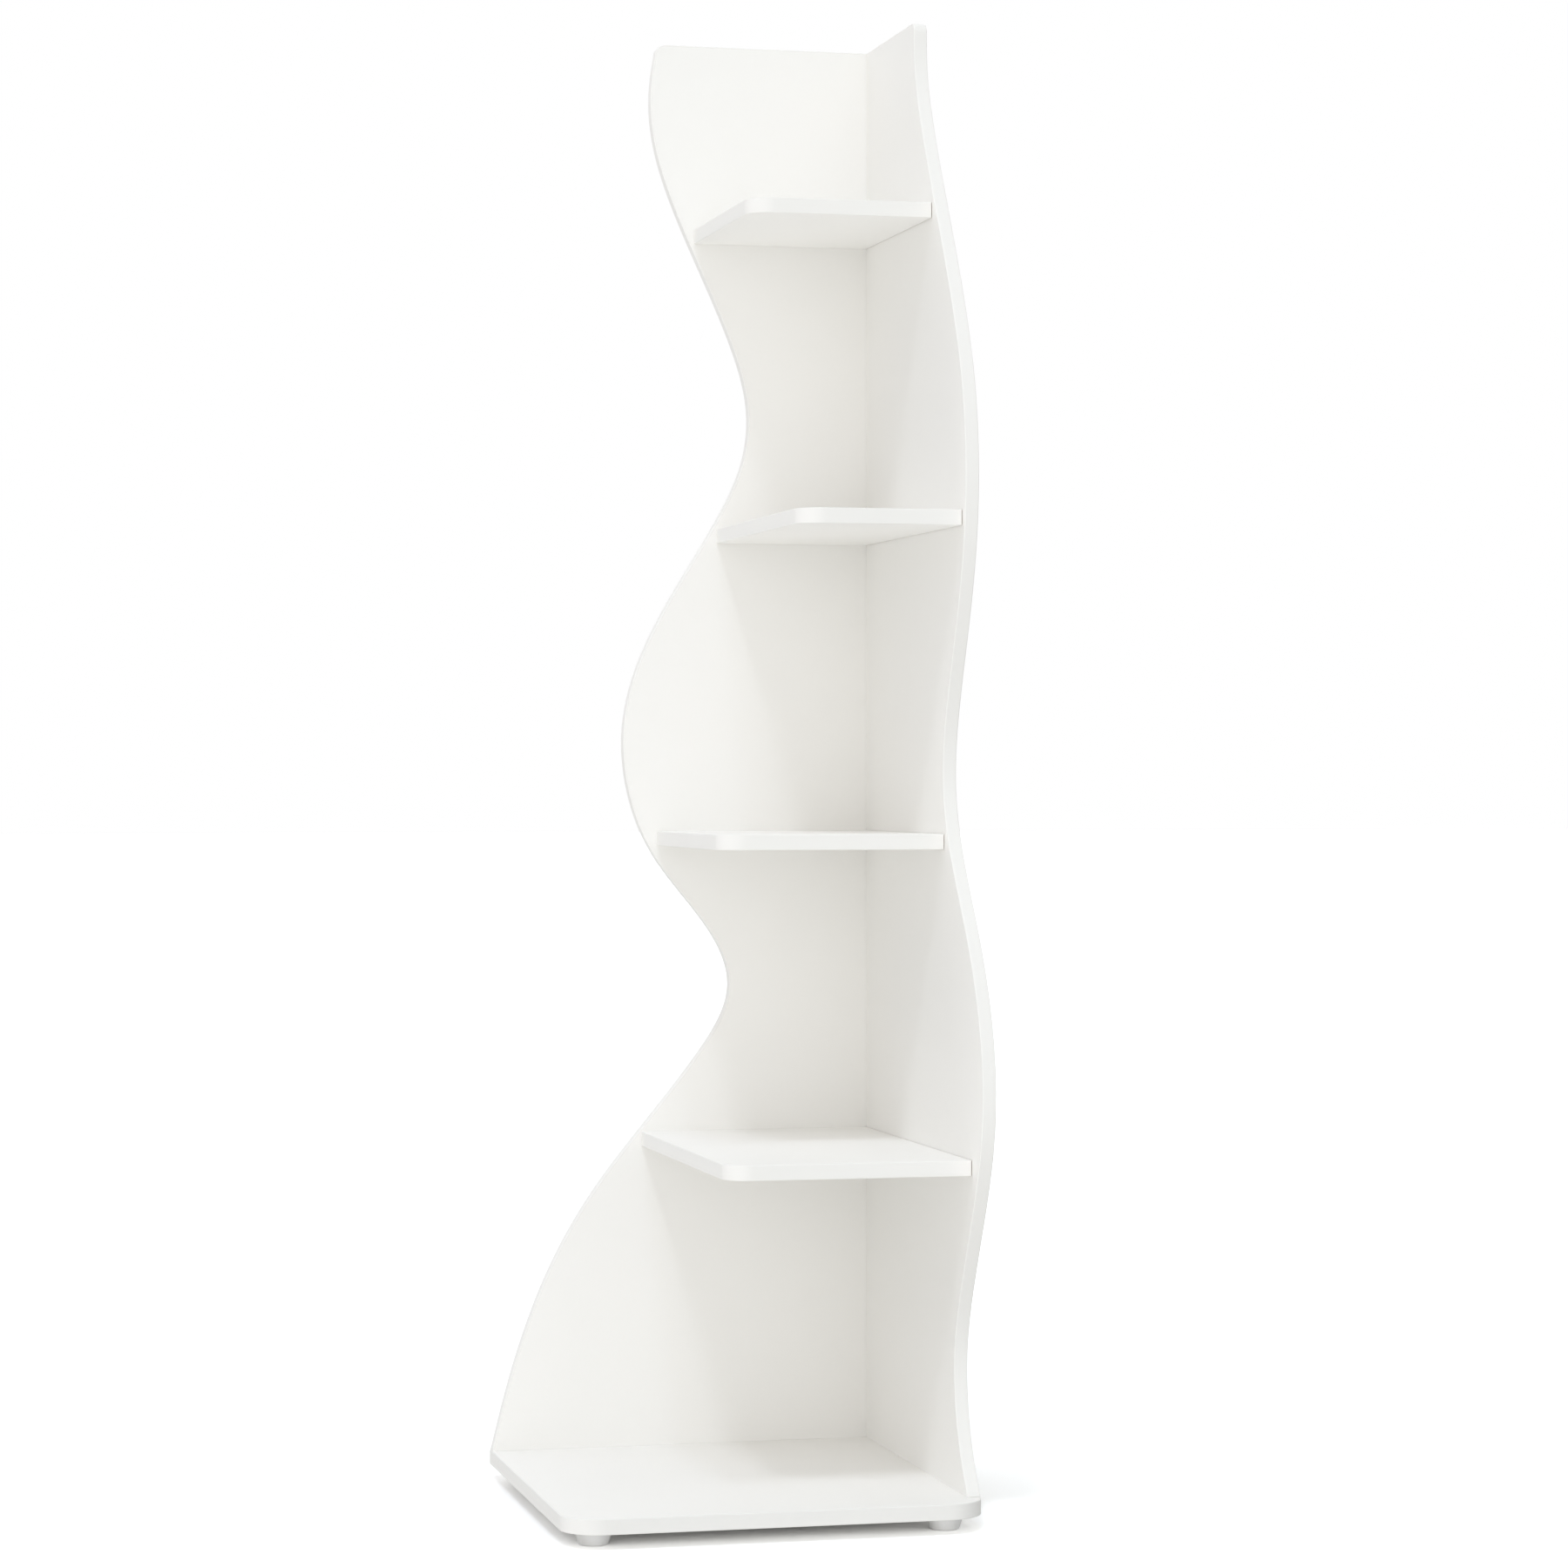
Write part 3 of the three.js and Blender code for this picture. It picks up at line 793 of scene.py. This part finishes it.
def build_foot_screw(tag):
    """A pan-head screw with a cross recess, its head down inside the foot."""
    low, high, tip = FOOT_HEAD_LOW, FOOT_HEAD_HIGH, FOOT_SCREW_TIP
    start, end, pitch = high + 1.2, tip - 0.5, 1.4
    profile = [
        (0, low), (1.6, low + 0.05), (2.9, low + 0.35), (3.7, low + 0.95), (4.0, low + 1.6),
        (4.0, high - 0.1), (3.9, high), (FOOT_SCREW_RADIUS, high), (FOOT_SCREW_RADIUS, start),
    ]
    for height in thread_depths(start, end, pitch, per_turn=6)[1:]:
        taper = 1 - 0.75 * max(0.0, (height - tip + 4.0) / 3.5) ** 1.4
        profile.append((thread_radius(height, pitch, core=1.45, crest=1.98, half_width=0.3,
                                      taper=taper), height))
    profile.append((0, tip))
    bm = bmesh.new()
    turned(bm, profile, SCREW_SEGMENTS, FOOT_PLACES[tag])
    name = f"foot_screw_{tag}_steel"
    obj = link(name, mesh_from(bm, name, [ZINC_STEEL]))
    cut_out(obj, cross_recess(FOOT_PLACES[tag]), use_self=True)
    complete(obj, f"foot_screw_{tag}")


for foot in FEET:
    build_foot(foot)
    build_foot_screw(foot)

# --------------------------------------------------------------------------
# Floor, in metres
# --------------------------------------------------------------------------
FLOOR_HALF = 60.0
UNDER_INSET = 0.03      # the piece under the base stands in by this, except at the left
FLOOR_GAIN = 1.18       # how much brighter the camera sees the paper
FLOOR_GAIN_PAINTED_FRONT = 1.38     # the same before the base, raised as painted light over the shadow there


def floor_material(name):
    """Matt white paper. The camera sees it brighter than the light it sends back. Before the
    base and to its right it is brightened further: painted light that lifts the bookcase's
    shadow on the paper there."""
    m = Finish(name, "ShaderNodeBsdfDiffuse")
    colour = m.mix(m.noise(scale=1.3), (0.955, 0.955, 0.950), (0.965, 0.965, 0.962))
    place = m.add("ShaderNodeSeparateXYZ", m.coords).outputs
    # painted light: extra brightening before the base and to the right of it, over the shadow
    before = m.remap(place["Y"], to=(1.0, 0.0), span=(base_lo.y + 0.03, base_lo.y + 0.12))
    painted_light_beside = m.remap(place["X"], to=(0.0, 0.6), span=(base_hi.x - 0.06, base_hi.x + 0.02))
    gain_with_painted_light = m.remap(m.math("MAXIMUM", before, painted_light_beside), span=(0.0, 1.0),
                   to=(FLOOR_GAIN - 1.0, FLOOR_GAIN_PAINTED_FRONT - 1.0))
    seen = m.add("ShaderNodeLightPath").outputs["Is Camera Ray"]
    lift_with_painted_light = m.math("ADD", m.math("MULTIPLY", seen, gain_with_painted_light), 1.0)
    m.set(Color=m.vector("SCALE", colour, Scale=lift_with_painted_light).outputs[0])
    return m.material


def rectangle(x0, y0, x1, y1):
    return [(x0, y0), (x1, y0), (x1, y1), (x0, y1)]


def build_floor(name, material, outline, hole=None):
    """A flat piece of floor; a hole has as many corners as the outline."""
    bm = bmesh.new()
    rings = [[bm.verts.new((x, y, CAD_LO.z)) for x, y in loop]
             for loop in (outline, hole) if loop]
    if hole:
        skin(bm, rings)
    else:
        bm.faces.new(rings[0])
    obj = link(name, mesh_from(bm, name, [material], recalculate=False))
    return obj


under_base = rectangle(base_lo.x, base_lo.y + UNDER_INSET,
                       base_hi.x - UNDER_INSET, base_hi.y - UNDER_INSET)
build_floor("floor_under_base", floor_material("floor_near"), under_base)
# Light from below stands in for a brightly lit studio floor: away from the base
# board the floor takes the shadow but doesn't shade the bookcase.
floor = build_floor("floor", floor_material("floor_paper"),
                    rectangle(-FLOOR_HALF, -FLOOR_HALF, FLOOR_HALF, FLOOR_HALF), under_base)
floor.visible_diffuse = False
floor.visible_glossy = False
floor.visible_shadow = False

# --------------------------------------------------------------------------
# Light: soft lobes over an even ambient light, with white behind for the camera
# --------------------------------------------------------------------------
AMBIENT = 0.30
# Azimuth (0 = from the front, growing to the right) and elevation in degrees,
# sharpness, then red, green and blue strength. The two sharp lobes are the key
# light, up at the front left; the rest is fill.
LOBES = [
    (-12, 64, 900, 35.43, 39.32, 45.14),
    (-28, 58, 900, 64.97, 68.26, 73.47),
    (45, 60, 60, 1.68, 1.76, 1.63),
    (-135, 45, 12, 0.66, 0.68, 0.74),
    (-90, 45, 12, 1.01, 0.99, 0.98),
    (-135, 15, 12, 0.40, 0.42, 0.44),
    (-45, 15, 12, 0.94, 0.92, 0.90),
    (0, 15, 12, 1.11, 1.12, 1.13),
    (45, 15, 12, 0.38, 0.41, 0.39),
    (-45, -18, 12, 0.63, 0.62, 0.59),
    (0, -18, 12, 0.50, 0.51, 0.51),
    (-90, -55, 8, 1.60, 1.61, 1.62),
    (0, -55, 8, 0.62, 0.64, 0.65),
    (150, 25, 2, 0.75, 0.75, 0.75),
]


def build_world():
    world = bpy.data.worlds.new("studio")
    bpy.context.scene.world = world
    w = NodeTree(world)
    way = w.add("ShaderNodeTexCoord").outputs["Generated"]
    total = w.add("ShaderNodeCombineXYZ", X=AMBIENT, Y=AMBIENT, Z=AMBIENT).outputs[0]
    for azimuth, elevation, sharpness, *colour in LOBES:
        a, e = math.radians(azimuth), math.radians(elevation)
        towards = (math.sin(a) * math.cos(e), -math.cos(a) * math.cos(e), math.sin(e))
        facing = w.vector("DOT_PRODUCT", way, towards).outputs["Value"]
        falloff = w.math("POWER", w.math("MAXIMUM", facing, 0.0), float(sharpness))
        lobe = w.vector("SCALE", colour, Scale=falloff).outputs[0]
        total = w.vector("ADD", total, lobe).outputs[0]
    seen = w.add("ShaderNodeBackground", Color=(1, 1, 1, 1), Strength=1.0).outputs[0]
    light = w.add("ShaderNodeBackground", Color=total, Strength=1.0).outputs[0]
    is_camera = w.add("ShaderNodeLightPath").outputs["Is Camera Ray"]
    mixed = w.add("ShaderNodeMixShader", is_camera, light, seen).outputs[0]
    w.add("ShaderNodeOutputWorld", mixed)


build_world()

# --------------------------------------------------------------------------
# Camera
# --------------------------------------------------------------------------
CAMERA_PLACE = (-1323.25, -4997.68, 820.35)
CAMERA_YAW = 13.69          # degrees to the right of straight back
CAMERA_PITCH = -0.072       # degrees above level


def build_camera():
    data = bpy.data.cameras.new("camera")
    data.sensor_width = 36.0
    data.lens = 95.21
    data.clip_end = 200.0
    camera = link("camera", data)
    yaw, pitch = math.radians(CAMERA_YAW), math.radians(CAMERA_PITCH)
    forward = Vector((math.sin(yaw) * math.cos(pitch), math.cos(yaw) * math.cos(pitch),
                      math.sin(pitch)))
    camera.location = at(*CAMERA_PLACE)
    camera.rotation_mode = "QUATERNION"
    camera.rotation_quaternion = forward.to_track_quat("-Z", "Y")
    bpy.context.scene.camera = camera


build_camera()

view = bpy.context.scene.view_settings
view.view_transform = "Standard"
view.look = "None"
view.exposure = 0.0
view.gamma = 1.0
